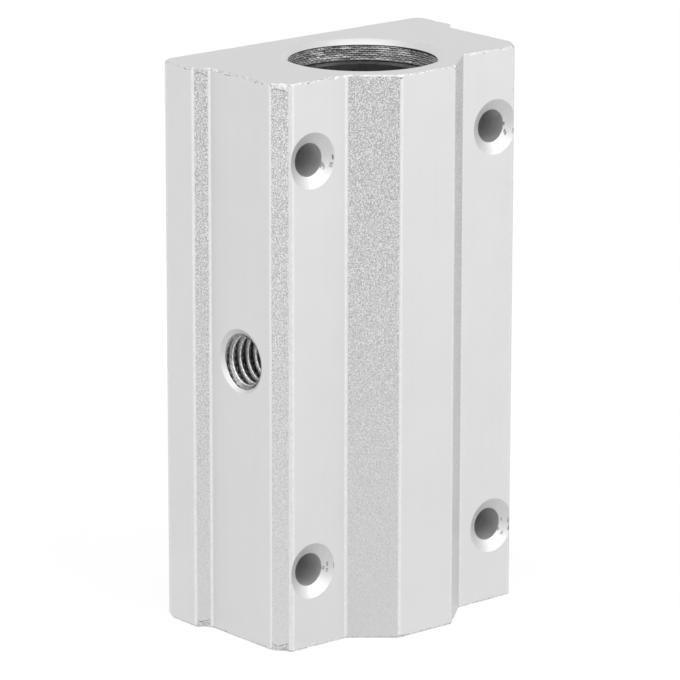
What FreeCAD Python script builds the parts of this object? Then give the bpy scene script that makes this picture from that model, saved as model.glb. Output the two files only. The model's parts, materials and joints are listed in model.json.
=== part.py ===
import FreeCAD, Part
import math
import os

# Linear bearing block, long type: an extruded aluminium housing that holds two recirculating ball
# bushings for an 8 mm shaft, each kept in by a circlip near its end of the bore.
#
# Frame, in millimetres: the origin is on the shaft axis at the middle of the block's length. +Z runs
# along the shaft, +Y points out of the flat mounting face, and -X out of the side that has the
# threaded grease port. The ledges for the screw heads face -Y.

# ---- Shaft, balls and cage --------------------------------------------------------------------------

SHAFT_DIAMETER = 8.0
SHAFT_CLEARANCE = 0.02            # radial, under the loaded balls
BALL_DIAMETER = 1.5875
BALL_GAP = 0.05                   # least room between two balls of a circuit
RACE_CLEARANCE = 0.01             # radial, loaded ball to race land
RETURN_CLEARANCE = 0.06           # radial, returning ball to the sleeve
CIRCUITS = 4
CIRCUIT_SPREAD = 30.0             # degrees between the loaded and the returning row
TRACK_CLEARANCE = 0.06            # round a ball in its track
CAGE_LAND_CLEARANCE = 0.12        # radial, cage to race lands
CAGE_SHAFT_CLEARANCE = 0.3        # radial
CAGE_END_WALL = 0.7               # between a turn of the balls and the cage's end
CAGE_PLAY = 0.1                   # cage to each end ring

# ---- Sleeve, end rings and seals ----------------------------------------------------------------------

BUSHING_LENGTH = 24.0
LAND_HEIGHT = 0.6825              # race land above the relieved inside of the sleeve
LAND_HALF_ANGLE = 8.0             # degrees either side of a loaded row
SLEEVE_WALL = 1.19                # relieved inside to the outside
SLEEVE_END_CHAMFER = 0.3
SLEEVE_GROOVE_WIDTH = 1.1
SLEEVE_GROOVE_DEPTH = 0.35
SLEEVE_GROOVE_SPACING = 17.5      # over the outer walls of the two grooves

SEAL_RECESS = 0.5                 # seal below the sleeve's end face
SEAL_THICKNESS = 1.4
SEAL_SEAT_DEPTH = 0.2             # seal seat outside the relieved inside
SEAL_FIT = 0.01                   # radial, seal in its seat
LIP_CLEARANCE = 0.05              # radial, lip to shaft
LIP_REACH = 0.95                  # radial, over which the lip thins
LIP_THICKNESS = 0.6

END_RING_THICKNESS = 0.8
END_RING_SHAFT_CLEARANCE = 0.7    # radial
END_RING_GROOVE_DEPTH = 0.5       # groove outside the relieved inside
END_RING_CLEARANCE = 0.05         # round the ring and beside it, in its groove
END_RING_SLIT = 1.2

# ---- Housing and circlips -----------------------------------------------------------------------------

BUSHING_FIT = 0.01                # radial, sleeve in the housing bore
BUSHING_SPACING = 3.6             # between the two bushings
BORE_MOUTH_CHAMFER = 0.6

AXIS_HEIGHT = 11.0                # mounting face to shaft axis
AXIS_TO_LEDGE = 6.5
AXIS_TO_CROWN = 10.0
FLANGE_THICKNESS = 5.0
FLANGE_STEP = 1.15                # flange side to waist side
FLANGE_STEP_RISE = 1.3
SHOULDER_INSET = 1.2              # waist side to the ledge's outer edge
SHOULDER_RISE = 1.9
CROWN_BASE_WIDTH = 15.3
CROWN_WIDTH = 7.0
BACK_CORNER_RADIUS = 1.0
LEDGE_EDGE_RADIUS = 0.6
EDGE_RADIUS = 0.35

SCREW_SPACING = 24.0              # across the block
SCREW_SIDE_DISTANCE = 5.0         # screw axis to the flange's side
SCREW_END_DISTANCE = 8.0          # screw axis to the end face
SCREW_HOLE_DIAMETER = 3.4         # clear for M3, and the core of the M4 thread
SCREW_MOUTH_DIAMETER = 5.6        # countersink on the ledge
TAP_CHAMFER = 0.25                # at the mounting face
PORT_CORE_DIAMETER = 5.0          # core of the M6 thread
PORT_MOUTH_DIAMETER = 6.5
PORT_OPENING_DIAMETER = 3.2       # where the drill's point breaks into the bore
DRILL_POINT_ANGLE = 118.0

CLIP_SETBACK = 2.1                # end face to circlip groove
CLIP_THICKNESS = 1.0
CLIP_GROOVE_DEPTH = 0.35
CLIP_SIDE_CLEARANCE = 0.1
CLIP_RADIAL_CLEARANCE = 0.05      # ring to the bottom of its groove
CLIP_BACK_WIDTH = 1.8             # radial width opposite the gap
CLIP_TIP_WIDTH = 1.3              # radial width beside the gap
CLIP_GAP_HALF_ANGLE = 12.0
CLIP_GAP_DIRECTION = 225.0        # degrees from +X
CLIP_LUG_RADIUS = 1.4
CLIP_LUG_HOLE_RADIUS = 0.75
CLIP_LUG_CLEARANCE = 0.05         # lug to the housing bore

# ---- Sizes that follow --------------------------------------------------------------------------------

ORIGIN = FreeCAD.Vector(0, 0, 0)
AXIS_X = FreeCAD.Vector(1, 0, 0)
AXIS_Y = FreeCAD.Vector(0, 1, 0)
AXIS_Z = FreeCAD.Vector(0, 0, 1)

SHAFT_RADIUS = SHAFT_DIAMETER / 2
BALL_RADIUS = BALL_DIAMETER / 2
TRACK_RADIUS = BALL_RADIUS + TRACK_CLEARANCE
LOADED_RADIUS = SHAFT_RADIUS + SHAFT_CLEARANCE + BALL_RADIUS
RACE_RADIUS = LOADED_RADIUS + BALL_RADIUS + RACE_CLEARANCE
RELIEF_RADIUS = RACE_RADIUS + LAND_HEIGHT
RETURN_RADIUS = RELIEF_RADIUS - RETURN_CLEARANCE - BALL_RADIUS
CAGE_RADIUS = RACE_RADIUS - CAGE_LAND_CLEARANCE
CAGE_BORE_RADIUS = SHAFT_RADIUS + CAGE_SHAFT_CLEARANCE
SLEEVE_RADIUS = RELIEF_RADIUS + SLEEVE_WALL
SEAL_SEAT_RADIUS = RELIEF_RADIUS + SEAL_SEAT_DEPTH
END_RING_GROOVE_RADIUS = RELIEF_RADIUS + END_RING_GROOVE_DEPTH

SEAL_SEAT_Z = BUSHING_LENGTH / 2 - SEAL_RECESS - SEAL_THICKNESS
END_RING_Z = SEAL_SEAT_Z - END_RING_THICKNESS
CAGE_HALF_LENGTH = END_RING_Z - CAGE_PLAY

# A circuit's two rows of balls run along the shaft through A, loaded, and B, returning, at half the
# spread either side of the circuit's middle line. The loop lies in the plane through both rows.
HALF_SPREAD = math.radians(CIRCUIT_SPREAD / 2)
ROW_A = FreeCAD.Vector(math.cos(HALF_SPREAD), -math.sin(HALF_SPREAD), 0) * LOADED_RADIUS
ROW_B = FreeCAD.Vector(math.cos(HALF_SPREAD), math.sin(HALF_SPREAD), 0) * RETURN_RADIUS
LOOP_CENTRE = (ROW_A + ROW_B) * 0.5
LOOP_ACROSS = (ROW_B - ROW_A).normalize()
LOOP_OUTWARD = LOOP_ACROSS.cross(AXIS_Z)
TURN_RADIUS = ROW_A.distanceToPoint(ROW_B) / 2
ROW_HALF_LENGTH = CAGE_HALF_LENGTH - CAGE_END_WALL - TRACK_RADIUS - TURN_RADIUS
LOOP_LENGTH = 4 * ROW_HALF_LENGTH + 2 * math.pi * TURN_RADIUS
TURN_PITCH = 2 * TURN_RADIUS * math.asin((BALL_DIAMETER + BALL_GAP) / (2 * TURN_RADIUS))
BALLS_PER_CIRCUIT = int(LOOP_LENGTH / TURN_PITCH)

BORE_RADIUS = SLEEVE_RADIUS + BUSHING_FIT
CLIP_GROOVE_WIDTH = CLIP_THICKNESS + CLIP_SIDE_CLEARANCE
CLIP_RADIUS = BORE_RADIUS + CLIP_GROOVE_DEPTH - CLIP_RADIAL_CLEARANCE
BUSHING_CENTRE_Z = (BUSHING_LENGTH + BUSHING_SPACING) / 2
CLIP_Z = BUSHING_CENTRE_Z + BUSHING_LENGTH / 2
HALF_LENGTH = CLIP_Z + CLIP_GROOVE_WIDTH + CLIP_SETBACK
FLANGE_X = SCREW_SPACING / 2 + SCREW_SIDE_DISTANCE
WAIST_X = FLANGE_X - FLANGE_STEP


# ---- Shape helpers ------------------------------------------------------------------------------------

def rounded_outline(corners):
    """Closed wire in the XY plane through corners given as (x, y, radius), each rounded by an arc."""
    points = [FreeCAD.Vector(x, y, 0) for x, y, radius in corners]
    count = len(corners)
    arcs = []
    for index in range(count):
        corner = points[index]
        radius = corners[index][2]
        back = (points[index - 1] - corner).normalize()
        forward = (points[(index + 1) % count] - corner).normalize()
        half = back.getAngle(forward) / 2
        setback = radius / math.tan(half)
        middle = corner + (back + forward).normalize() * (radius / math.sin(half) - radius)
        arcs.append((corner + back * setback, middle, corner + forward * setback))
    edges = []
    for index in range(count):
        start, middle, end = arcs[index]
        edges.append(Part.Arc(start, middle, end).toShape())
        edges.append(Part.LineSegment(end, arcs[(index + 1) % count][0]).toShape())
    return Part.Wire(edges)


def turned(section):
    """Solid of revolution about Z from a closed half-section of (radius, z) points."""
    points = [FreeCAD.Vector(radius, 0, z) for radius, z in section]
    face = Part.Face(Part.makePolygon(points + points[:1]))
    return face.revolve(ORIGIN, AXIS_Z, 360)


def two_ended(upper):
    """Half-section of (radius, z) points above the middle, and their mirror images below it."""
    return upper + [(radius, -z) for radius, z in reversed(upper)]


def rod(radius, half_length):
    """Cylinder about Z, as long above the middle as below it."""
    return Part.makeCylinder(radius, 2 * half_length, AXIS_Z * -half_length)


def wedge(half_angle, reach, height):
    """Prism over a triangle that opens from the axis towards +X, from z = 0 to height."""
    rise = reach * math.tan(math.radians(half_angle))
    tips = [ORIGIN, FreeCAD.Vector(reach, -rise, 0), FreeCAD.Vector(reach, rise, 0), ORIGIN]
    return Part.Face(Part.makePolygon(tips)).extrude(AXIS_Z * height)


def round_the_axis(make, count):
    """The same shape made count times, evenly spaced about Z."""
    copies = []
    for index in range(count):
        shape = make()
        shape.rotate(ORIGIN, AXIS_Z, index * 360 / count)
        copies.append(shape)
    return copies


# ---- Housing ------------------------------------------------------------------------------------------

def housing_section():
    """Extruded section: flange at the mounting face, waist, ledges for the screws, and the crown."""
    step_y = AXIS_HEIGHT - FLANGE_THICKNESS
    right = [
        (FLANGE_X, AXIS_HEIGHT, BACK_CORNER_RADIUS),
        (FLANGE_X, step_y, EDGE_RADIUS),
        (WAIST_X, step_y - FLANGE_STEP_RISE, EDGE_RADIUS),
        (WAIST_X, SHOULDER_RISE - AXIS_TO_LEDGE, EDGE_RADIUS),
        (WAIST_X - SHOULDER_INSET, -AXIS_TO_LEDGE, LEDGE_EDGE_RADIUS),
        (CROWN_BASE_WIDTH / 2, -AXIS_TO_LEDGE, EDGE_RADIUS),
        (CROWN_WIDTH / 2, -AXIS_TO_CROWN, EDGE_RADIUS),
    ]
    left = [(-x, y, radius) for x, y, radius in reversed(right)]
    return Part.Face(rounded_outline(right + left))


def bore_tool():
    """What the through bore, its mouth chamfers and the two circlip grooves take out."""
    mouth_radius = BORE_RADIUS + BORE_MOUTH_CHAMFER
    groove_radius = BORE_RADIUS + CLIP_GROOVE_DEPTH
    upper = [
        (0, HALF_LENGTH),
        (mouth_radius, HALF_LENGTH),
        (BORE_RADIUS, HALF_LENGTH - BORE_MOUTH_CHAMFER),
        (BORE_RADIUS, HALF_LENGTH - CLIP_SETBACK),
        (groove_radius, HALF_LENGTH - CLIP_SETBACK),
        (groove_radius, CLIP_Z),
        (BORE_RADIUS, CLIP_Z),
    ]
    return turned(two_ended(upper))


def screw_hole_tool():
    """Screw hole about Z: countersunk at the ledge, z = 0, and chamfered for tapping at the other end."""
    hole = SCREW_HOLE_DIAMETER / 2
    mouth = SCREW_MOUTH_DIAMETER / 2
    depth = AXIS_HEIGHT + AXIS_TO_LEDGE
    return turned([
        (0, 0),
        (mouth, 0),
        (hole, mouth - hole),
        (hole, depth - TAP_CHAMFER),
        (hole + TAP_CHAMFER, depth),
        (0, depth),
    ])


def port_tool():
    """Grease port about Z: chamfered at the waist side, z = 0, and drilled until its point opens the bore."""
    core = PORT_CORE_DIAMETER / 2
    mouth = PORT_MOUTH_DIAMETER / 2
    slope = math.tan(math.radians(DRILL_POINT_ANGLE / 2))
    tip = BORE_RADIUS - PORT_OPENING_DIAMETER / 2 / slope - WAIST_X
    return turned([(0, 0), (mouth, 0), (core, core - mouth), (core, tip + core / slope), (0, tip)])


def make_housing():
    """Extruded bar, cut to length, bored, grooved, drilled and countersunk."""
    bar = housing_section().extrude(AXIS_Z * (2 * HALF_LENGTH))
    bar.translate(AXIS_Z * -HALF_LENGTH)
    tools = [bore_tool()]
    screw_z = HALF_LENGTH - SCREW_END_DISTANCE
    for side in (-1, 1):
        for end in (-1, 1):
            hole = screw_hole_tool()
            hole.rotate(ORIGIN, AXIS_X, -90)
            hole.translate(FreeCAD.Vector(side * SCREW_SPACING / 2, -AXIS_TO_LEDGE, end * screw_z))
            tools.append(hole)
    port = port_tool()
    port.rotate(ORIGIN, AXIS_Y, -90)
    port.translate(AXIS_X * -WAIST_X)
    tools.append(port)
    return bar.cut(tools)


# ---- Circlip ------------------------------------------------------------------------------------------

def make_circlip():
    """Internal circlip with its lower face at z = 0: tapered ring, gap and two drilled lugs."""
    offset = AXIS_X * ((CLIP_BACK_WIDTH - CLIP_TIP_WIDTH) / 2)
    inner_radius = CLIP_RADIUS - (CLIP_BACK_WIDTH + CLIP_TIP_WIDTH) / 2
    ring = Part.makeCylinder(CLIP_RADIUS, CLIP_THICKNESS)
    ring = ring.cut(Part.makeCylinder(inner_radius, CLIP_THICKNESS, offset))
    ring = ring.cut(wedge(CLIP_GAP_HALF_ANGLE, 2 * CLIP_RADIUS, CLIP_THICKNESS))
    lug_centre = BORE_RADIUS - CLIP_LUG_CLEARANCE - CLIP_LUG_RADIUS
    turn = math.radians(CLIP_GAP_HALF_ANGLE) + math.asin(CLIP_LUG_RADIUS / lug_centre)
    lugs = []
    eyes = []
    for side in (-1, 1):
        centre = FreeCAD.Vector(math.cos(turn), side * math.sin(turn), 0) * lug_centre
        lugs.append(Part.makeCylinder(CLIP_LUG_RADIUS, CLIP_THICKNESS, centre))
        eyes.append(Part.makeCylinder(CLIP_LUG_HOLE_RADIUS, CLIP_THICKNESS, centre))
    clip = ring.fuse(lugs).cut(eyes).removeSplitter()
    clip.rotate(ORIGIN, AXIS_Z, CLIP_GAP_DIRECTION)
    return clip


# ---- Ball bushing, about Z with its middle at z = 0 ---------------------------------------------------

def land():
    """Raised race under one loaded row, rooted in the middle of the sleeve's wall."""
    root = rod(RELIEF_RADIUS + SLEEVE_WALL / 2, ROW_HALF_LENGTH)
    ring = root.cut(rod(RACE_RADIUS, ROW_HALF_LENGTH))
    sector = wedge(LAND_HALF_ANGLE, 2 * SLEEVE_RADIUS, 2 * ROW_HALF_LENGTH)
    sector.translate(AXIS_Z * -ROW_HALF_LENGTH)
    sector.rotate(ORIGIN, AXIS_Z, -CIRCUIT_SPREAD / 2)
    return ring.common(sector)


def make_sleeve():
    """Hardened sleeve: two grooves outside, and inside the seats for seals and end rings and the lands."""
    end = BUSHING_LENGTH / 2
    groove_radius = SLEEVE_RADIUS - SLEEVE_GROOVE_DEPTH
    groove_end = SLEEVE_GROOVE_SPACING / 2
    ring_groove_z = END_RING_Z - END_RING_CLEARANCE
    upper = [
        (SLEEVE_RADIUS, groove_end - SLEEVE_GROOVE_WIDTH),
        (groove_radius, groove_end - SLEEVE_GROOVE_WIDTH),
        (groove_radius, groove_end),
        (SLEEVE_RADIUS, groove_end),
        (SLEEVE_RADIUS, end - SLEEVE_END_CHAMFER),
        (SLEEVE_RADIUS - SLEEVE_END_CHAMFER, end),
        (SEAL_SEAT_RADIUS, end),
        (SEAL_SEAT_RADIUS, SEAL_SEAT_Z),
        (END_RING_GROOVE_RADIUS, SEAL_SEAT_Z),
        (END_RING_GROOVE_RADIUS, ring_groove_z),
        (RELIEF_RADIUS, ring_groove_z),
    ]
    return turned(two_ended(upper)).fuse(round_the_axis(land, CIRCUITS)).removeSplitter()


def track_section():
    """Section of a ball track at the top of the loaded row: round at the bottom, open outwards."""
    centre = ROW_A + AXIS_Z * ROW_HALF_LENGTH
    across = LOOP_ACROSS * TRACK_RADIUS
    mouth = LOOP_OUTWARD * SLEEVE_RADIUS
    return Part.Face(Part.Wire([
        Part.Arc(centre - across, centre - LOOP_OUTWARD * TRACK_RADIUS, centre + across).toShape(),
        Part.LineSegment(centre + across, centre + across + mouth).toShape(),
        Part.LineSegment(centre + across + mouth, centre - across + mouth).toShape(),
        Part.LineSegment(centre - across + mouth, centre - across).toShape(),
    ]))


def track_tool():
    """Room for one circuit in the cage: the section carried down both rows and round both turns."""
    row = AXIS_Z * (2 * ROW_HALF_LENGTH)
    upper = track_section()
    lower = upper.copy()
    lower.translate(-row)
    loaded_row = lower.extrude(row)
    returning_row = loaded_row.copy()
    returning_row.translate(LOOP_ACROSS * (2 * TURN_RADIUS))
    upper_turn = upper.revolve(LOOP_CENTRE + row * 0.5, LOOP_OUTWARD, -180)
    lower_turn = lower.revolve(LOOP_CENTRE - row * 0.5, LOOP_OUTWARD, 180)
    return loaded_row.fuse([returning_row, upper_turn, lower_turn])


def make_cage():
    """Moulded cage: a tube with one ball track for each circuit."""
    tube = rod(CAGE_RADIUS, CAGE_HALF_LENGTH).cut(rod(CAGE_BORE_RADIUS, CAGE_HALF_LENGTH))
    return tube.cut(round_the_axis(track_tool, CIRCUITS))


def loop_point(travel):
    """Place of a ball centre that has gone this far up the loaded row, over the turn and back down."""
    turn = math.pi * TURN_RADIUS
    row = 2 * ROW_HALF_LENGTH
    if travel < row:
        across = -TURN_RADIUS
        along = travel - ROW_HALF_LENGTH
    elif travel < row + turn:
        angle = (travel - row) / TURN_RADIUS
        across = -TURN_RADIUS * math.cos(angle)
        along = ROW_HALF_LENGTH + TURN_RADIUS * math.sin(angle)
    elif travel < 2 * row + turn:
        across = TURN_RADIUS
        along = ROW_HALF_LENGTH - (travel - row - turn)
    else:
        angle = (travel - 2 * row - turn) / TURN_RADIUS
        across = TURN_RADIUS * math.cos(angle)
        along = -ROW_HALF_LENGTH - TURN_RADIUS * math.sin(angle)
    return LOOP_CENTRE + LOOP_ACROSS * across + AXIS_Z * along


def make_ball_circuit():
    """The balls of one circuit, spread evenly round its loop."""
    pitch = LOOP_LENGTH / BALLS_PER_CIRCUIT
    return Part.makeCompound([
        Part.makeSphere(BALL_RADIUS, loop_point(index * pitch)) for index in range(BALLS_PER_CIRCUIT)
    ])


def make_end_ring():
    """Split steel ring that snaps into the sleeve beside the cage, with its lower face at z = 0."""
    outer = END_RING_GROOVE_RADIUS - END_RING_CLEARANCE
    ring = Part.makeCylinder(outer, END_RING_THICKNESS)
    bore = Part.makeCylinder(SHAFT_RADIUS + END_RING_SHAFT_CLEARANCE, END_RING_THICKNESS)
    slit = Part.makeBox(outer, END_RING_SLIT, END_RING_THICKNESS, AXIS_Y * (-END_RING_SLIT / 2))
    return ring.cut([bore, slit])


def make_seal():
    """Rubber end seal with its inner face at z = 0: a disc whose lip thins towards the shaft."""
    outer = SEAL_SEAT_RADIUS - SEAL_FIT
    lip = SHAFT_RADIUS + LIP_CLEARANCE
    lip_top = (SEAL_THICKNESS + LIP_THICKNESS) / 2
    return turned([
        (outer, 0),
        (outer, SEAL_THICKNESS),
        (lip + LIP_REACH, SEAL_THICKNESS),
        (lip, lip_top),
        (lip, lip_top - LIP_THICKNESS),
        (lip + LIP_REACH, 0),
    ])


# ---- Assembly -----------------------------------------------------------------------------------------

def write(node, shape):
    """Write one named piece as a STEP file."""
    shape.exportStep(os.path.join("parts", node + ".step"))


def end_pair(name, shape, height):
    """One piece at each end of what carries it: as made at +height, and turned over at -height."""
    upper = shape.copy()
    upper.translate(AXIS_Z * height)
    lower = upper.copy()
    lower.rotate(ORIGIN, AXIS_X + AXIS_Y, 180)
    return [(name + "_top", upper), (name + "_bottom", lower)]


def bushing_pieces():
    """Name and shape of each piece of one bushing."""
    pieces = [("sleeve", make_sleeve()), ("ball_cage", make_cage())]
    circuits = round_the_axis(make_ball_circuit, CIRCUITS)
    pieces += [("ball_circuit_" + str(number + 1), balls) for number, balls in enumerate(circuits)]
    pieces += end_pair("end_ring", make_end_ring(), END_RING_Z)
    pieces += end_pair("end_seal", make_seal(), SEAL_SEAT_Z)
    return pieces


os.makedirs("parts", exist_ok=True)
write("housing", make_housing())
for clip_name, clip in end_pair("circlip", make_circlip(), CLIP_Z):
    write(clip_name, clip)
for piece_name, piece in bushing_pieces():
    for place, centre_z in (("upper", BUSHING_CENTRE_Z), ("lower", -BUSHING_CENTRE_Z)):
        placed = piece.copy()
        placed.translate(AXIS_Z * centre_z)
        write(place + "_" + piece_name, placed)
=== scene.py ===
import json
import math

import bpy
import numpy as np
from mathutils import Matrix, Vector

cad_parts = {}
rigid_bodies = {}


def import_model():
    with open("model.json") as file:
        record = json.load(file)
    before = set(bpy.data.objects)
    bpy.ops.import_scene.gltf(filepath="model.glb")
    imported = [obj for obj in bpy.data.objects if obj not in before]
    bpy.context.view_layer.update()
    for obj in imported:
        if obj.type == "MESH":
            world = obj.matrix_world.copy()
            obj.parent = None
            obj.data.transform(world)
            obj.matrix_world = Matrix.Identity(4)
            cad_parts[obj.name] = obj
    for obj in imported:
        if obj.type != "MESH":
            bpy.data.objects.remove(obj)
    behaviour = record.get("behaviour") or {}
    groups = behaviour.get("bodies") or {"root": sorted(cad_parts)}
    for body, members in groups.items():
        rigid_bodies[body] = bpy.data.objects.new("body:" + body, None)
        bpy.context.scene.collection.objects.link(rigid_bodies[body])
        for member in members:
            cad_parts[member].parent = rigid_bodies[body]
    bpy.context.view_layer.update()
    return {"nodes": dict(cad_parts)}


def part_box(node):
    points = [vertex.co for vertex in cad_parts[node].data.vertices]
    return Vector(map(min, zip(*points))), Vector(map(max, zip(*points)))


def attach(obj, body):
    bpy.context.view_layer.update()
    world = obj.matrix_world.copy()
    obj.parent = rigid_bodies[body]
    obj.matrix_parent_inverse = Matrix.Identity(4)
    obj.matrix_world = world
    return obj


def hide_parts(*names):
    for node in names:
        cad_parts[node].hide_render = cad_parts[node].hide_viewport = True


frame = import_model()

# ---- Housing: section ---------------------------------------------------------------------------------
# One bar of extruded aluminium. Its section has a flange at the mounting face, a narrower waist, two
# ledges for the screw heads and a crown over the bore. The flats are dressed smooth, and the slopes
# between them keep the grain of the die.

MM = 0.001
housing_low, housing_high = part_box("housing")
END_Z = housing_high.z
BACK_Y = housing_high.y
CROWN_Y = housing_low.y
FLANGE_X = housing_high.x
FLANGE_THICKNESS = 5.0 * MM
FLANGE_STEP = 1.15 * MM
FLANGE_STEP_RISE = 1.3 * MM
WAIST_X = FLANGE_X - FLANGE_STEP
STEP_Y = BACK_Y - FLANGE_THICKNESS
LEDGE_Y = CROWN_Y + 3.5 * MM
LEDGE_X = WAIST_X - 1.2 * MM
SHOULDER_Y = LEDGE_Y + 1.9 * MM
CROWN_BASE_X = 7.65 * MM
CROWN_X = 3.5 * MM
BACK_CORNER_RADIUS = 1.0 * MM
LEDGE_EDGE_RADIUS = 0.6 * MM
EDGE_RADIUS = 0.5 * MM
OUTLINE_STEP = 0.25 * MM
CORNER_STEPS = 6
GUARD = 0.05 * MM                 # narrow strip beside a corner, which keeps the flats' shading flat

# The finishes stand in the order of the housing's materials.
FLAT, GRAIN, END, EDGE, BORE, CHAMFER, SINK, DRILLED, THREAD, SCORED_AND_SHADE, FILED = range(11)


def section_outline():
    """Outline of the section, counterclockwise from the crown: straight runs between the corners, each
    corner an arc whose tangent turns evenly. Returns points, outward normals, and the finish of the
    stretch that follows each point."""
    right = [
        (CROWN_X, CROWN_Y, EDGE_RADIUS, GRAIN),
        (CROWN_BASE_X, LEDGE_Y, EDGE_RADIUS, FLAT),
        (LEDGE_X, LEDGE_Y, LEDGE_EDGE_RADIUS, GRAIN),
        (WAIST_X, SHOULDER_Y, EDGE_RADIUS, FLAT),
        (WAIST_X, STEP_Y - FLANGE_STEP_RISE, EDGE_RADIUS, GRAIN),
        (FLANGE_X, STEP_Y, EDGE_RADIUS, FLAT),
        (FLANGE_X, BACK_Y, BACK_CORNER_RADIUS, FLAT),
    ]
    finishes = [FLAT, GRAIN, FLAT, GRAIN, FLAT, GRAIN, FLAT]
    left = [(-x, y, radius, finish) for (x, y, radius, _), finish in zip(right[::-1], finishes[::-1])]
    corners = right + left
    places = np.array([(x, y) for x, y, _, _ in corners])
    runs = np.roll(places, -1, axis=0) - places
    headings = np.arctan2(runs[:, 1], runs[:, 0])
    turns = (headings - np.roll(headings, 1) + np.pi) % (2 * np.pi) - np.pi
    radii = np.array([radius for _, _, radius, _ in corners])
    setbacks = radii * np.abs(np.tan(turns / 2))
    along = runs / np.linalg.norm(runs, axis=1)[:, None]
    points, normals, stretch = [], [], []
    for index, (_, _, radius, finish) in enumerate(corners):
        side = np.sign(turns[index])
        start = places[index] - along[index - 1] * setbacks[index]
        before = headings[index - 1]
        centre = start + side * radius * np.array([-np.sin(before), np.cos(before)])
        heading = before + turns[index] * np.linspace(0, 1, CORNER_STEPS + 1)
        outward = np.stack([np.sin(heading), -np.cos(heading)], axis=1)
        points.append(centre + side * radius * outward)
        normals.append(outward)
        # Corners take the burnished edge finish: rubbed bright, and partly a painted highlight.
        stretch += [EDGE] * CORNER_STEPS
        straight = np.linalg.norm(runs[index]) - setbacks[index] - setbacks[(index + 1) % len(corners)]
        spots = np.linspace(GUARD, straight - GUARD, max(2, int(straight / OUTLINE_STEP)))
        points.append(points[-1][-1] + spots[:, None] * along[index])
        normals.append(np.repeat(outward[-1:], len(spots), axis=0))
        stretch += [finish] * (len(spots) + 1)
    return np.concatenate(points), np.concatenate(normals), np.array(stretch)


outline, outline_normals, outline_finish = section_outline()

# ---- Housing: bar -------------------------------------------------------------------------------------
# The bar is milled to length at both ends, and its end edges are broken by hand with a file, so the
# break is uneven and has a few nicks.

BREAK_INSET = 0.07 * MM
BREAK_HEIGHT = 0.18 * MM
INSET_WAVES = ((0.30, 6), (0.22, 1.2))    # each a share of the size and a spread in samples
HEIGHT_WAVES = ((0.22, 8), (0.12, 1.5))
WAVER = 0.012 * MM                # of the file's strokes
DENT_RISE = 0.8                   # how much a nick raises the break, for its depth
BURR_HEIGHT = 0.45 * MM           # least height of the break on the grained slopes
BURR_ARCH = 0.35 * MM             # how much taller it is beside their corners
BURR_SWAY = 0.5                   # share of the break's own unevenness that it has there
BREAK_SCORE_AND_SHADE_WIDTH = 0.09 * MM           # dark line under it: partly a score left by the file, partly painted shade under the burr
NICKS = [                         # place on the section, end, depth and half width
    (-17.0, 6.6, 1, 0.12, 0.20), (-15.85, 3.4, 1, 0.14, 0.22), (-15.85, -1.6, 1, 0.08, 0.25),
    (-15.3, -5.6, 1, 0.16, 0.30), (-9.2, -6.5, 1, 0.08, 0.20), (-3.6, -9.9, 1, 0.10, 0.25),
    (3.5, -10.0, 1, 0.26, 0.25), (5.2, -8.5, 1, 0.18, 0.25), (13.1, -6.5, 1, 0.10, 0.30),
    (-16.4, 5.3, -1, 0.24, 0.35), (-15.2, -5.9, -1, 0.20, 0.35), (-3.4, -10.0, -1, 0.14, 0.25),
    (4.3, -9.3, -1, 0.24, 0.40), (17.0, 8.0, 1, 0.13, 0.40), (-8.0, 11.0, 1, 0.12, 0.50),
    (6.0, 11.0, -1, 0.14, 0.60), (16.9, 9.0, -1, 0.16, 0.40), (-16.8, 10.7, -1, 0.45, 0.80),
    (-16.8, 10.7, 1, 0.16, 0.70),
]
SCRATCHES = [                     # place on the section and half length, under the upper end's break
    (-17.0, 7.1, 0.25), (-15.85, 2.0, 0.55), (-15.85, -2.3, 0.16), (-15.85, -3.3, 0.14),
    (-5.2, -8.5, 0.15), (-3.6, -9.9, 0.25), (3.6, -9.9, 0.20), (9.6, -6.5, 0.12),
    (10.2, -6.5, 0.10), (-12.6, -6.5, 0.10),
]
chance = np.random.default_rng(58)


def uneven(count, spread):
    """Random values round a closed loop, smoothed by a Gaussian of that many samples, about 0 with unit
    deviation."""
    waves = np.fft.rfftfreq(count)
    smooth = np.exp(-2 * (np.pi * waves * spread) ** 2)
    values = np.fft.irfft(np.fft.rfft(chance.standard_normal(count)) * smooth, count)
    return (values - values.mean()) / values.std()


def swayed(count, size, waves, least, most):
    """The size round a closed loop, made larger and smaller by uneven waves, and kept between least and
    most times itself."""
    sway = sum(share * uneven(count, spread) for share, spread in waves)
    return size * np.clip(1 + sway, least, most)


def burred_slopes():
    """Which points of the outline lie on a grained slope outside the crown, and there the square of
    their distance from its middle, 1 at its corners."""
    grained = (outline_finish == GRAIN) & (np.abs(outline[:, 0]) > CROWN_BASE_X + EDGE_RADIUS)
    arch = np.zeros(len(outline))
    starts = np.flatnonzero(grained & ~np.roll(grained, 1))
    for start in starts:
        length = np.argmin(np.append(grained[start:], False))
        arch[start:start + length] = np.linspace(-1, 1, length) ** 2
    return grained, arch


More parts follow.
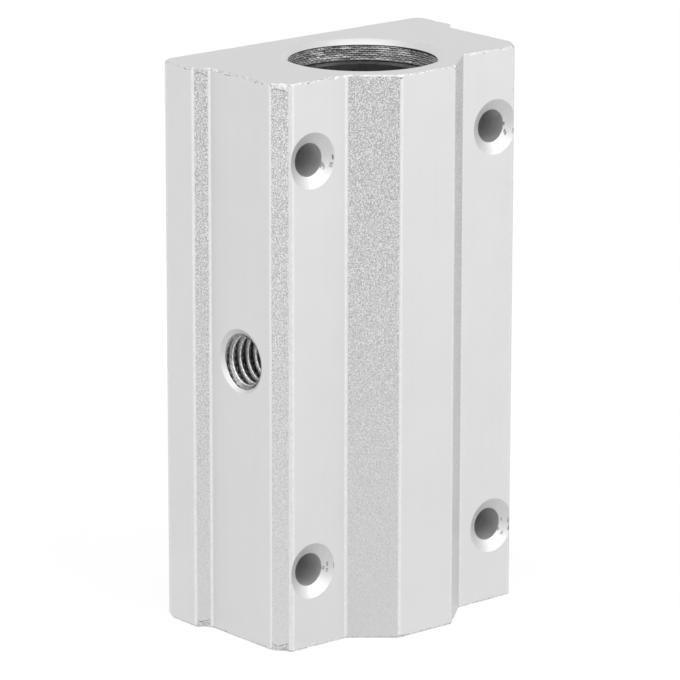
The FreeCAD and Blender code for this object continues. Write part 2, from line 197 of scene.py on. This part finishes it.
def bar_surface():
    """Section carried along Z. Near each end a point moves in along its normal by inset (1 - t) squared,
    where t runs from 0 at the end face to 1 at the foot of the break. Inset and height of the break
    vary round the outline."""
    count = len(outline)
    steps = np.array([0.0, 0.12, 0.28, 0.46, 0.66, 0.86, 1.0])
    burred, arch = burred_slopes()
    rings = []
    for end in (-1, 1):
        inset = swayed(count, BREAK_INSET, INSET_WAVES, 0.35, 2.2)
        height = swayed(count, BREAK_HEIGHT, HEIGHT_WAVES, 0.5, 1.7)
        burr = BURR_HEIGHT + BURR_ARCH * arch + BURR_SWAY * (height - BREAK_HEIGHT)
        height = np.where(burred, burr, height)
        for x, y, nick_end, depth, width in NICKS:
            if nick_end == end:
                away = np.linalg.norm(outline - np.array([x, y]) * MM, axis=1)
                dent = np.exp(-(away / (width * MM)) ** 2)
                inset = inset + depth * MM * dent
                height = height + DENT_RISE * depth * MM * dent
        levels = []
        for step in steps:
            shift = inset * (1 - step) ** 2
            shift = shift + WAVER * uneven(count, 1.0) * (step < 1) * (step > 0)
            place = outline - outline_normals * np.maximum(shift, 0)[:, None]
            levels.append(np.column_stack([place, end * (END_Z - height * step)]))
        levels.append(np.column_stack([outline, end * (END_Z - height - BREAK_SCORE_AND_SHADE_WIDTH)]))
        rings.append(levels if end < 0 else levels[::-1])
    rings = np.array(rings[0] + rings[1])
    rows = len(rings)
    at = np.arange(rows * count).reshape(rows, count)
    right = np.roll(at, -1, axis=1)
    sides = np.stack([at[:-1], right[:-1], right[1:], at[1:]], axis=-1).reshape(-1, 4)
    finish = np.tile(outline_finish, (rows - 1, 1))
    finish[:len(steps) - 1] = FILED
    finish[1 - len(steps):] = FILED
    # Dark line at the foot of the break on the grained slopes: partly a score, partly painted shade under
    # the burr.
    for row in (len(steps) - 1, -len(steps)):
        finish[row, burred] = SCORED_AND_SHADE
    for x, y, half in SCRATCHES:
        finish[-len(steps), np.linalg.norm(outline - np.array([x, y]) * MM, axis=1) < half * MM] = SCORED_AND_SHADE
    faces = sides.tolist() + [at[0][::-1].tolist(), at[-1].tolist()]
    return rings.reshape(-1, 3), faces, np.append(finish.ravel(), [END, END])


def mesh_piece(name, points, faces, finish, materials):
    """Object at the origin from arrays of points, faces and each face's material."""
    mesh = bpy.data.meshes.new(name)
    mesh.from_pydata(points, [], faces)
    for material in materials:
        mesh.materials.append(material)
    mesh.polygons.foreach_set("material_index", np.asarray(finish, np.int32))
    mesh.update()
    piece = bpy.data.objects.new(name, mesh)
    bpy.context.scene.collection.objects.link(piece)
    return piece


# ---- Housing: finishes --------------------------------------------------------------------------------
# The whole housing is anodised in its natural silver. Each way of making leaves its own surface: dressed
# flats, the grain of the die, milled ends, burnished edges, bored and drilled walls, turned cones, cut
# threads, scored lines and filed breaks. Some finishes also carry painted light: a painted highlight on
# the edges and thread crests, and painted shade in the grain's pits, on the thread flanks, beside the
# circlip grooves and under the burrs.

SILVER = (0.66, 0.66, 0.664)


def add(tree, kind, inputs=None, **settings):
    """One shader node with its settings, and a value or another node's socket in each named input."""
    node = tree.nodes.new(kind)
    for name, value in settings.items():
        setattr(node, name, value)
    for key, value in (inputs or {}).items():
        if isinstance(value, bpy.types.NodeSocket):
            tree.links.new(value, node.inputs[key])
        else:
            node.inputs[key].default_value = value
    return node


def finish_material(name, metallic, roughness):
    """New principled material. Returns it with its tree, its shader and its Object coordinates."""
    material = bpy.data.materials.new(name)
    material.use_nodes = True
    tree = material.node_tree
    tree.nodes.clear()
    shader = add(tree, "ShaderNodeBsdfPrincipled", {"Metallic": metallic, "Roughness": roughness})
    output = add(tree, "ShaderNodeOutputMaterial")
    tree.links.new(shader.outputs["BSDF"], output.inputs["Surface"])
    place = add(tree, "ShaderNodeTexCoord").outputs["Object"]
    return material, tree, shader, place


def calculate(tree, operation, first, second=None):
    """Output of one Math node."""
    inputs = {0: first}
    if second is not None:
        inputs[1] = second
    return add(tree, "ShaderNodeMath", inputs, operation=operation).outputs[0]


def blend(tree, first, share, second, other_share):
    """Sum of two sockets, each times its share."""
    return calculate(tree, "ADD", calculate(tree, "MULTIPLY", first, share),
                     calculate(tree, "MULTIPLY", second, other_share))


def noise(tree, place, scale, detail=2.0, stretch=(1, 1, 1)):
    """Noise of that scale, per metre, on coordinates stretched along each axis."""
    mapped = add(tree, "ShaderNodeMapping", {"Vector": place, "Scale": stretch})
    return add(tree, "ShaderNodeTexNoise", {
        "Vector": mapped.outputs[0], "Scale": scale, "Detail": detail, "Roughness": 0.6,
    }).outputs["Fac"]


def shade_between(tree, shader, value, low, high, dark, bright, socket="Base Color"):
    """Feeds a socket from a ramp: dark where value is low, and bright where it is high."""
    ramp = add(tree, "ShaderNodeValToRGB", {"Fac": value})
    for stop, place, shade in zip(ramp.color_ramp.elements, (low, high), (dark, bright)):
        stop.position = place
        stop.color = (*shade, 1.0) if isinstance(shade, tuple) else (shade, shade, shade, 1.0)
    tree.links.new(ramp.outputs["Color"], shader.inputs[socket])


def relief(tree, shader, height, depth, strength=1.0):
    """Bump of that depth in metres under the shader."""
    bump = add(tree, "ShaderNodeBump", {"Height": height, "Distance": depth, "Strength": strength})
    tree.links.new(bump.outputs["Normal"], shader.inputs["Normal"])


def tone(factor):
    """Silver made lighter or darker."""
    return tuple(channel * factor for channel in SILVER)


def dressed_flat():
    """Flats: an even satin with faint lines along the bar."""
    material, tree, shader, place = finish_material("dressed_flat", 1.0, 0.42)
    lines = noise(tree, place, 1800, 3.0, (1, 1, 0.02))
    cloud = noise(tree, place, 160, 2.0)
    both = blend(tree, lines, 0.4, cloud, 0.6)
    shade_between(tree, shader, both, 0.35, 0.65, tone(0.985), tone(1.015))
    relief(tree, shader, noise(tree, place, 5200, 3.0), 0.004 * MM)
    return material


def die_grain():
    """Slopes: the pimpled skin of the extrusion, with dark pits, partly dirt and partly painted shade in
    the pits; the colour's contrast grows towards the upper end.
    """
    material, tree, shader, place = finish_material("die_grain", 1.0, 0.5)
    grain = noise(tree, place, 8400, 0.0, (1, 1, 0.9))
    height = add(tree, "ShaderNodeSeparateXYZ", {"Vector": place}).outputs[2]
    rise = add(tree, "ShaderNodeMapRange", {
        "Value": height, "From Min": -END_Z, "From Max": END_Z, "To Min": 0.25, "To Max": 1.0,
    }).outputs[0]
    # Contrast of the colour, growing towards the upper end.
    depth = calculate(tree, "POWER", rise, 1.6)
    pit_contrast = calculate(tree, "MULTIPLY", calculate(tree, "SUBTRACT", grain, 0.55), depth)
    pits = calculate(tree, "ADD", pit_contrast, 0.52)
    # Dark pits: partly dirt, partly painted shade in the pits.
    shade_between(tree, shader, pits, 0.36, 0.64, tone(0.63), tone(1.13))
    relief(tree, shader, grain, 0.02 * MM, 0.5)
    return material


def from_centre(tree, place, centre):
    """The three coordinates of a place, measured from a centre."""
    moved = add(tree, "ShaderNodeVectorMath", {0: place, 1: centre}, operation="SUBTRACT").outputs[0]
    return add(tree, "ShaderNodeSeparateXYZ", {"Vector": moved}).outputs


def milled_end():
    """Ends: fine arcs of a face mill that is wider than the bar and turns beside it."""
    material, tree, shader, place = finish_material("milled_end", 1.0, 0.4)
    x, y, _ = from_centre(tree, place, (-30 * MM, 8 * MM, 0))
    squares = calculate(tree, "ADD", calculate(tree, "MULTIPLY", x, x), calculate(tree, "MULTIPLY", y, y))
    radius = calculate(tree, "SQRT", squares)
    rings = add(tree, "ShaderNodeTexNoise", {
        "W": calculate(tree, "MULTIPLY", radius, 5200.0), "Scale": 1.0, "Detail": 2.0,
    }, noise_dimensions="1D").outputs["Fac"]
    shade_between(tree, shader, rings, 0.3, 0.7, tone(0.90), tone(0.93))
    relief(tree, shader, rings, 0.006 * MM, 0.6)
    return material


def burnished_edge_and_highlight():
    """Edges rubbed bright by the file and by handling, and lightened beyond the silver as a painted
    highlight too.
    """
    material, tree, shader, place = finish_material("burnished_edge_and_highlight", 1.0, 0.45)
    rub_and_highlight = noise(tree, place, 2400, 3.0)
    shade_between(tree, shader, rub_and_highlight, 0.35, 0.6, tone(1.03), tone(1.11))
    relief(tree, shader, rub_and_highlight, 0.02 * MM, 0.5)
    return material


def filed_break():
    """Broken end edges: torn by the file, bright and dull in turn."""
    material, tree, shader, place = finish_material("filed_break", 1.0, 0.5)
    torn = noise(tree, place, 2900, 3.0)
    shade_between(tree, shader, torn, 0.36, 0.56, tone(0.66), tone(0.94))
    relief(tree, shader, torn, 0.03 * MM, 0.7)
    return material


def helix_lines(tree, angle, along, turns, pitch):
    """Wave along a screw line: one period each pitch along the axis, moved by turns periods a turn."""
    phase = calculate(tree, "ADD", calculate(tree, "MULTIPLY", along, 2 * math.pi / pitch),
                      calculate(tree, "MULTIPLY", angle, float(turns)))
    return calculate(tree, "SINE", phase)


def bored_wall():
    """Bore: feed marks crossed by honing lines that lean both ways."""
    material, tree, shader, place = finish_material("bored_wall", 1.0, 0.28)
    x, y, along = from_centre(tree, place, (0, 0, 0))
    angle = calculate(tree, "ARCTAN2", x, y)
    right = helix_lines(tree, angle, along, 90, 0.42 * MM)
    left = helix_lines(tree, angle, along, -90, 0.42 * MM)
    hatch = calculate(tree, "MAXIMUM", right, left)
    rough = noise(tree, place, 3800, 3.0)
    mixed = blend(tree, hatch, 0.4, rough, 0.5)
    shade_between(tree, shader, mixed, 0.1, 0.8, tone(0.24), tone(0.56))
    relief(tree, shader, mixed, 0.01 * MM, 0.7)
    return material


def turned_cone(name, roughness, dark, bright):
    """Chamfers and countersinks: bright turned cones with a little chatter."""
    material, tree, shader, place = finish_material(name, 0.9, roughness)
    lines = noise(tree, place, 4200, 3.0)
    shade_between(tree, shader, lines, 0.3, 0.7, tone(dark), tone(bright))
    relief(tree, shader, lines, 0.02 * MM, 0.6)
    return material


def drilled_wall():
    """Drilled holes: dull walls with the drill's feed marks."""
    material, tree, shader, place = finish_material("drilled_wall", 0.3, 0.5)
    feed = noise(tree, place, 900, 3.0, (1, 8, 1))
    shade_between(tree, shader, feed, 0.35, 0.65, tone(0.67), tone(0.79))
    relief(tree, shader, feed, 0.02 * MM, 0.5)
    return material


def scored_line_and_shade():
    """Scored lines, scratches and chatter: rough, and dark with dirt. The same dark colour is painted
    shade beside the circlip grooves and, in part, under the burrs of the filed breaks.
    """
    material, tree, shader, place = finish_material("scored_line_and_shade", 1.0, 0.6)
    dirt = noise(tree, place, 2600, 3.0)
    shade_between(tree, shader, dirt, 0.35, 0.65, tone(0.25), tone(0.7))
    relief(tree, shader, dirt, 0.03 * MM, 0.7)
    return material


def cut_thread():
    """Threads: flanks coloured dark as painted shade in the tapped holes, torn in places."""
    material, tree, shader, place = finish_material("cut_thread", 1.0, 0.24)
    torn = noise(tree, place, 5200, 3.0)
    # Dark tone: painted shade on the flanks.
    shade_between(tree, shader, torn, 0.35, 0.65, tone(0.28), tone(0.50))
    relief(tree, shader, torn, 0.02 * MM, 0.7)
    return material


housing_materials = [
    dressed_flat(),
    die_grain(),
    milled_end(),
    burnished_edge_and_highlight(),
    bored_wall(),
    turned_cone("bore_chamfer", 0.32, 0.90, 0.96),
    turned_cone("countersink", 0.5, 0.82, 0.90),
    drilled_wall(),
    cut_thread(),
    scored_line_and_shade(),
    filed_break(),
]
bar = mesh_piece("bearing_block_housing", *bar_surface(), housing_materials)

# ---- Housing: bore, screw holes and grease port -------------------------------------------------------
# The bore is bored through from both ends, chamfered at its mouths and grooved for the circlips. Four
# screw holes are drilled through the ledges, countersunk with a larger drill's point, and tapped M4 from
# the mounting face. The grease port is drilled, tapped M6 and opened with a larger drill in the waist.

RIM = 0.05 * MM                   # small bevel where a cone meets a face
OVERRUN = 0.4 * MM                # how far a cutter stands out of the face that it cuts
FLARE = 2.4                       # how much wider it gets there, for its length
POINT_SLOPE = math.tan(math.radians(59))
CREST_SHARE = 0.18                # flat of a thread at the core, in pitches
ROOT_SHARE = 0.16                 # flat of a thread at the major radius

BORE_RADIUS = 7.5 * MM
MOUTH_CHAMFER = 0.6 * MM
MOUTH_DEPTH = 0.52 * MM
CLIP_SETBACK = 2.1 * MM
CLIP_GROOVE_WIDTH = 1.1 * MM
CLIP_GROOVE_RADIUS = 7.85 * MM
CLIP_SHADE_WIDTH = 0.08 * MM      # painted shade: dark strip of wall beside the groove, for the shaded gap above the circlip
FEED = 0.22 * MM                  # the boring tool's advance each turn
FEED_DEPTH = 0.08 * MM
FEED_WAVES = ((0.22, 3.0),)
FEED_ROWS = 5                     # rows of faces in one turn's advance
BORE_COLUMNS = 480

SCREW_X = 12.0 * MM
SCREW_Z = END_Z - 8.0 * MM
SCREW_RADIUS = 1.7 * MM
SCREW_MOUTH_RADIUS = 2.8 * MM
SCREW_LENGTH = BACK_Y - LEDGE_Y
SINK_DEPTH = (SCREW_MOUTH_RADIUS - SCREW_RADIUS) / POINT_SLOPE
M4_RADIUS = 2.0 * MM
M4_PITCH = 0.7 * MM
M4_DEPTH = 8.0 * MM
TAP_CHAMFER = 0.4 * MM
SINK_ROWS = 8
M4_ROWS = 92
SCREW_COLUMNS = 64
CHATTER_MIDDLE = 0.15             # radians from +X, where the countersink tore the cone
CHATTER_HALF = 0.38
CHATTER_SHARE = 0.11

PORT_RADIUS = 2.5 * MM
PORT_MOUTH_RADIUS = 3.25 * MM
PORT_OPENING_RADIUS = 1.6 * MM
M6_RADIUS = 3.0 * MM
M6_PITCH = 1.0 * MM
M6_START = -0.6 * MM
M6_END_GAP = 0.3 * MM             # from the last turn to the end of the core
CREST_HIGHLIGHT_REACH = 0.1 * MM              # how far the painted highlight of a crest reaches down its flanks
CONE_LEFT = 0.6                   # share of the mouth's cone that the first turn leaves whole
TIP_FLAT = 0.02 * MM
M6_ROWS = 200
PORT_COLUMNS = 108


def thread_depth(along, angle, pitch, depth, start=0.0):
    """Depth of a tapped wall outside its core: within each pitch a flat at the core, two straight flanks
    and a flat at full depth, moved on by one pitch a turn from where it starts."""
    place = ((along[:, None] - start) / pitch - angle[None, :] / (2 * np.pi)) % 1.0
    crest, root = CREST_SHARE / 2, ROOT_SHARE / 2
    stops = [0.0, crest, 0.5 - root, 0.5 + root, 1 - crest, 1.0]
    return np.interp(place, stops, [0, 0, depth, depth, 0, 0])


def angles(columns):
    """That many angles round a turn."""
    return np.arange(columns) * 2 * np.pi / columns


def cutter(name, origin, axis, along, radius, finish):
    """Solid of revolution about a line, or near to one: ring by ring along the axis, each ring's radius
    given at every angle. The finish is one for each row of faces, or one for each face."""
    axis = np.array(axis, float)
    across = np.array([axis[1], axis[2], axis[0]])
    other = np.cross(axis, across)
    rows, columns = radius.shape
    angle = angles(columns)
    spokes = np.cos(angle)[:, None] * across + np.sin(angle)[:, None] * other
    points = np.array(origin) + along[:, None, None] * axis + radius[:, :, None] * spokes
    at = np.arange(rows * columns).reshape(rows, columns)
    right = np.roll(at, -1, axis=1)
    sides = np.stack([at[:-1], right[:-1], right[1:], at[1:]], axis=-1).reshape(-1, 4)
    faces = sides.tolist() + [at[0][::-1].tolist(), at[-1].tolist()]
    finish = np.broadcast_to(np.reshape(finish, (rows - 1, -1)), (rows - 1, columns))
    finish = np.append(finish, [finish[0, 0], finish[-1, 0]])
    return mesh_piece(name, points.reshape(-1, 3), faces, finish, housing_materials)


def bore_cutter():
    """Bore: cone, wall, groove and wall again, the same at both ends. The walls outside the grooves have
    feed marks, a cosine wave along Z whose phase goes round once a turn, of uneven depth."""
    mouth = BORE_RADIUS + MOUTH_CHAMFER
    groove = END_Z - CLIP_SETBACK
    groove_foot = groove - CLIP_GROOVE_WIDTH
    marks = np.arange(groove + CLIP_SHADE_WIDTH, END_Z - MOUTH_DEPTH - RIM, FEED / FEED_ROWS)
    upper = [
        (groove_foot, BORE_RADIUS, BORE),
        (groove_foot, CLIP_GROOVE_RADIUS, BORE),
        (groove, CLIP_GROOVE_RADIUS, BORE),
        # painted shade of the gap above the circlip
        (groove, BORE_RADIUS, SCORED_AND_SHADE),
        *[(z, BORE_RADIUS, BORE) for z in marks],
        (END_Z - MOUTH_DEPTH, BORE_RADIUS, CHAMFER),
        (END_Z - RIM, mouth - RIM, END),
        (END_Z, mouth + RIM, END),
        (END_Z + OVERRUN, mouth + RIM + FLARE * OVERRUN, END),
    ]
    section = [(-z, radius, finish) for z, radius, finish in upper[::-1]] + upper
    along = np.array([z for z, _, _ in section])
    finish = [finish for _, _, finish in upper[:-1]]
    finish = finish[::-1] + [BORE] + finish
    radius = np.repeat(np.array([radius for _, radius, _ in section])[:, None], BORE_COLUMNS, axis=1)
    inside = (np.abs(along) > marks[0]) & (np.abs(along) < marks[-1])
    for row in np.flatnonzero(inside):
        turn = np.abs(along[row]) / FEED + angles(BORE_COLUMNS) / (2 * np.pi)
        depth = swayed(BORE_COLUMNS, FEED_DEPTH, FEED_WAVES, 0.3, 1.7)
        radius[row] += depth * (0.5 + 0.5 * np.cos(2 * np.pi * turn))
    return cutter("bore_cutter", (0, 0, 0), (0, 0, 1), along, radius, finish)


def screw_cutter(side, end):
    """Screw hole along Y: countersink, clear wall, thread and tapping chamfer."""
    start = SCREW_LENGTH - M4_DEPTH
    sink = np.linspace(RIM, SINK_DEPTH, SINK_ROWS)
    tapped = np.linspace(start, SCREW_LENGTH, M4_ROWS)
    along = np.concatenate([[-OVERRUN, 0.0], sink, [0.5 * start], tapped, [SCREW_LENGTH + OVERRUN]])
    rim_radius = SCREW_MOUTH_RADIUS + RIM
    cone = np.interp(along, [-OVERRUN, 0, RIM, SINK_DEPTH],
                     [rim_radius + FLARE * OVERRUN, rim_radius, SCREW_MOUTH_RADIUS - RIM, SCREW_RADIUS])
    tap_mouth = SCREW_RADIUS + np.maximum(0, along - (SCREW_LENGTH - TAP_CHAMFER))
    angle = angles(SCREW_COLUMNS)
    runout = np.clip((along - start) / M4_PITCH, 0, 1)[:, None]
    thread = thread_depth(along, angle, M4_PITCH, M4_RADIUS - SCREW_RADIUS) * runout
    radius = np.maximum(np.maximum(cone, tap_mouth)[:, None], SCREW_RADIUS + thread)
    rows_of_faces = [SINK_ROWS + 1, 2, M4_ROWS]
    finish = np.repeat([SINK, DRILLED, THREAD], rows_of_faces)
    finish = np.repeat(finish[:, None], SCREW_COLUMNS, axis=1)
    skipped = np.abs((angle - CHATTER_MIDDLE + np.pi) % (2 * np.pi) - np.pi) < CHATTER_HALF
    chatter = (finish == SINK) & skipped & (chance.random(finish.shape) < CHATTER_SHARE)
    finish[chatter | np.roll(chatter, 1, axis=1)] = SCORED_AND_SHADE
    origin = (side * SCREW_X, LEDGE_Y, end * SCREW_Z)
    return cutter("screw_cutter", origin, (0, 1, 0), along, radius, finish)


def port_cutter():
    """Grease port along X: mouth cone, thread, core and the drill's point, which opens the bore."""
    mouth = (PORT_MOUTH_RADIUS - PORT_RADIUS) / POINT_SLOPE
    tip = WAIST_X - BORE_RADIUS + PORT_OPENING_RADIUS / POINT_SLOPE
    core_end = tip - PORT_RADIUS / POINT_SLOPE
    thread_end = core_end - M6_END_GAP
    tapped = np.linspace(RIM, thread_end, M6_ROWS)
    along = np.concatenate([[-OVERRUN, 0.0], tapped, [core_end, tip - TIP_FLAT]])
    rim_radius = PORT_MOUTH_RADIUS + RIM
    cone = np.interp(along, [-OVERRUN, 0, RIM, mouth, core_end, tip - TIP_FLAT], [
        rim_radius + FLARE * OVERRUN, rim_radius, PORT_MOUTH_RADIUS - RIM,
        PORT_RADIUS, PORT_RADIUS, TIP_FLAT * POINT_SLOPE])
    runout = np.clip((thread_end - along) / M6_PITCH, 0, 1)[:, None]
    thread = thread_depth(along, angles(PORT_COLUMNS), M6_PITCH, M6_RADIUS - PORT_RADIUS, M6_START)
    core = np.where(along < core_end, PORT_RADIUS, 0)[:, None]
    radius = np.maximum(cone[:, None], core + thread * runout)
    finish = np.where(along[:-1] < CONE_LEFT * mouth, SINK, THREAD)
    finish[-2:] = DRILLED
    # Crests take the burnished edge finish as a painted highlight along the thread.
    crest = (finish[:, None] == THREAD) & (radius[:-1] < PORT_RADIUS + CREST_HIGHLIGHT_REACH)
    finish = np.where(crest, EDGE, finish[:, None])
    return cutter("port_cutter", (-WAIST_X, 0, 0), (1, 0, 0), along, radius, finish)


cutters = bpy.data.collections.new("cutters")
bpy.context.scene.collection.children.link(cutters)
for tool in [bore_cutter(), port_cutter()] + [screw_cutter(s, e) for s in (-1, 1) for e in (-1, 1)]:
    bpy.context.scene.collection.objects.unlink(tool)
    cutters.objects.link(tool)
cut = bar.modifiers.new("machining", "BOOLEAN")
cut.operation = "DIFFERENCE"
cut.solver = "EXACT"
cut.operand_type = "COLLECTION"
cut.collection = cutters
machined = bpy.data.meshes.new_from_object(bar.evaluated_get(bpy.context.evaluated_depsgraph_get()))
bar.modifiers.clear()
bar.data = machined
for tool in list(cutters.objects):
    bpy.data.objects.remove(tool)
bpy.data.collections.remove(cutters)
machined.polygons.foreach_set("use_smooth", np.ones(len(machined.polygons), bool))
machined.set_sharp_from_angle(angle=math.radians(20))
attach(bar, "root")
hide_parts("housing")

# ---- Circlips -----------------------------------------------------------------------------------------
# Two rings punched from spring steel strip, dark grey and oiled. They are sprung into the bore's
# grooves, and keep the bushings from moving out.


def dress(names, material):
    """Gives the named CAD pieces one material."""
    for name in names:
        mesh = frame["nodes"][name].data
        mesh.materials.clear()
        mesh.materials.append(material)


def spring_steel():
    """Strip steel: fine rolling lines on a dark grey."""
    material, tree, shader, place = finish_material("spring_steel", 1.0, 0.35)
    lines = noise(tree, place, 1500, 3.0, (1, 0.06, 1))
    shade_between(tree, shader, lines, 0.3, 0.7, (0.16, 0.16, 0.165), (0.26, 0.26, 0.265))
    relief(tree, shader, lines, 0.01 * MM, 0.5)
    return material


strip_steel = spring_steel()
dress(["circlip_top", "circlip_bottom"], strip_steel)

# ---- Ball bushings ------------------------------------------------------------------------------------
# Two closed bushings in the bore: a ground sleeve of bearing steel, a moulded cage with four circuits
# of polished balls, and at each end a snap ring of steel and a rubber seal whose lip wipes the shaft.


def ground_steel():
    """Sleeve: ground round its axis, so the lines run round it."""
    material, tree, shader, place = finish_material("ground_steel", 1.0, 0.22)
    lines = noise(tree, place, 600, 4.0, (0.3, 0.3, 12))
    shade_between(tree, shader, lines, 0.3, 0.7, (0.52, 0.52, 0.54), (0.64, 0.64, 0.66))
    relief(tree, shader, lines, 0.005 * MM, 0.5)
    return material


def polished_ball():
    """Balls: lapped bearing steel under a film of oil."""
    material, tree, shader, place = finish_material("polished_ball", 1.0, 0.08)
    film = noise(tree, place, 1200, 2.0)
    shade_between(tree, shader, film, 0.3, 0.7, (0.70, 0.70, 0.73), (0.80, 0.80, 0.82))
    shade_between(tree, shader, film, 0.3, 0.7, 0.05, 0.14, "Roughness")
    return material


def moulded_cage():
    """Cage: dark resin with the fine spark grain of its mould."""
    material, tree, shader, place = finish_material("moulded_cage", 0.0, 0.5)
    grain = noise(tree, place, 5000, 3.0)
    shade_between(tree, shader, grain, 0.3, 0.7, (0.035, 0.036, 0.038), (0.06, 0.06, 0.062))
    relief(tree, shader, grain, 0.01 * MM, 0.6)
    return material


def seal_rubber():
    """Seals: black rubber, dull, with a bloom of grease."""
    material, tree, shader, place = finish_material("seal_rubber", 0.0, 0.75)
    shader.inputs["Specular IOR Level"].default_value = 0.0
    bloom = noise(tree, place, 2200, 3.0)
    shade_between(tree, shader, bloom, 0.35, 0.7, (0.006, 0.006, 0.0065), (0.018, 0.018, 0.019))
    relief(tree, shader, bloom, 0.012 * MM, 0.6)
    return material


PLACES = ("upper", "lower")
ENDS = ("top", "bottom")
dress([place + "_sleeve" for place in PLACES], ground_steel())
dress([place + "_ball_cage" for place in PLACES], moulded_cage())
dress([place + "_ball_circuit_" + str(n) for place in PLACES for n in range(1, 5)], polished_ball())
dress([place + "_end_ring_" + end for place in PLACES for end in ENDS], strip_steel)
dress([place + "_end_seal_" + end for place in PLACES for end in ENDS], seal_rubber())

# ---- Table and studio ---------------------------------------------------------------------------------
# The block stands on a plain white table in a white room, under four large soft lamps: one over the
# camera, one on each side and one overhead.

FLOOR_HALF = 3.0


def show_white(tree, under, strength, share):
    """Shader that camera, mirror and glass rays see as that share of plain white, over the lit one."""
    path = add(tree, "ShaderNodeLightPath")
    seen = calculate(tree, "MAXIMUM", path.outputs["Is Camera Ray"], path.outputs["Is Glossy Ray"])
    seen = calculate(tree, "MAXIMUM", seen, path.outputs["Is Transmission Ray"])
    white = add(tree, "ShaderNodeEmission", {"Color": (1, 1, 1, 1), "Strength": strength})
    return add(tree, "ShaderNodeMixShader", {
        0: calculate(tree, "MULTIPLY", seen, share), 1: under, 2: white.outputs[0]}).outputs[0]


def table_top():
    """White laminate that keeps a faint shadow."""
    material, tree, shader, place = finish_material("table_top", 0.0, 0.9)
    cloud = noise(tree, place, 2.0)
    shade_between(tree, shader, cloud, 0.3, 0.7, 0.88, 0.9)
    shader.inputs["Specular IOR Level"].default_value = 0.0
    output = next(node for node in tree.nodes if node.type == "OUTPUT_MATERIAL")
    tree.links.new(show_white(tree, shader.outputs[0], 1.0, 0.9), output.inputs["Surface"])
    return material


corner = np.array([[-1, -1], [1, -1], [1, 1], [-1, 1]]) * FLOOR_HALF
corner = np.column_stack([corner, np.full(4, housing_low.z)])
floor = mesh_piece("table", corner, [[0, 1, 2, 3]], [0], [table_top()])

world = bpy.data.worlds.new("white_room")
world.use_nodes = True
bpy.context.scene.world = world
room = world.node_tree
room.nodes.clear()
lit = add(room, "ShaderNodeBackground", {"Color": (1, 1, 1, 1), "Strength": 0.75})
shown = add(room, "ShaderNodeBackground", {"Color": (1, 1, 1, 1), "Strength": 1.0})
ray = add(room, "ShaderNodeLightPath")
seen_ray = calculate(room, "MAXIMUM", ray.outputs["Is Camera Ray"], ray.outputs["Is Glossy Ray"])
seen_ray = calculate(room, "MAXIMUM", seen_ray, ray.outputs["Is Transmission Ray"])
mixed_room = add(room, "ShaderNodeMixShader", {0: seen_ray, 1: lit.outputs[0], 2: shown.outputs[0]})
room_output = add(room, "ShaderNodeOutputWorld")
room.links.new(mixed_room.outputs[0], room_output.inputs["Surface"])


def soft_lamp(name, azimuth, elevation, distance, size, power):
    """Square area lamp that faces the block."""
    lamp = bpy.data.lights.new(name, "AREA")
    lamp.shape = "SQUARE"
    lamp.size = size
    lamp.energy = power
    holder = bpy.data.objects.new(name, lamp)
    a, e = math.radians(azimuth), math.radians(elevation)
    towards = Vector((math.sin(a) * math.cos(e), -math.cos(a) * math.cos(e), math.sin(e)))
    holder.location = towards * distance
    holder.rotation_euler = towards.to_track_quat("Z", "Y").to_euler()
    bpy.context.scene.collection.objects.link(holder)


soft_lamp("over_camera", -42, 55, 2.0, 2.2, 7.0)
soft_lamp("left_lamp", -100, 30, 2.0, 2.2, 18.0)
soft_lamp("right_lamp", 20, 30, 2.0, 2.2, 26.0)
soft_lamp("overhead_lamp", -40, 88, 2.0, 1.6, 3.5)

# ---- Camera -------------------------------------------------------------------------------------------
# Long lens, a little above the block and to the left of its front. It is moved a little across its line
# of sight, so that the block stands beside the middle of the view.

CAMERA_AZIMUTH = math.radians(-40.32)
CAMERA_ELEVATION = math.radians(15.04)
CAMERA_ROLL = math.radians(0.09)
CAMERA_DISTANCE = 487.5 * MM
AIM_RIGHT = -2.23 * MM
AIM_UP = -0.49 * MM

backward = Vector((
    math.sin(CAMERA_AZIMUTH) * math.cos(CAMERA_ELEVATION),
    -math.cos(CAMERA_AZIMUTH) * math.cos(CAMERA_ELEVATION),
    math.sin(CAMERA_ELEVATION),
))
level = Vector((math.cos(CAMERA_AZIMUTH), math.sin(CAMERA_AZIMUTH), 0))
upward = backward.cross(level)
right = level * math.cos(CAMERA_ROLL) + upward * math.sin(CAMERA_ROLL)
up = upward * math.cos(CAMERA_ROLL) - level * math.sin(CAMERA_ROLL)
lens = bpy.data.cameras.new("camera")
lens.lens = 254.55
lens.sensor_width = 36.0
lens.clip_start = 0.01
lens.clip_end = 20.0
camera = bpy.data.objects.new("camera", lens)
camera.location = right * AIM_RIGHT + up * AIM_UP + backward * CAMERA_DISTANCE
bpy.context.scene.collection.objects.link(camera)
turn = Matrix((right, up, backward)).transposed()
camera.rotation_euler = turn.to_euler()
bpy.context.scene.camera = camera
bpy.context.scene.view_settings.view_transform = "Standard"
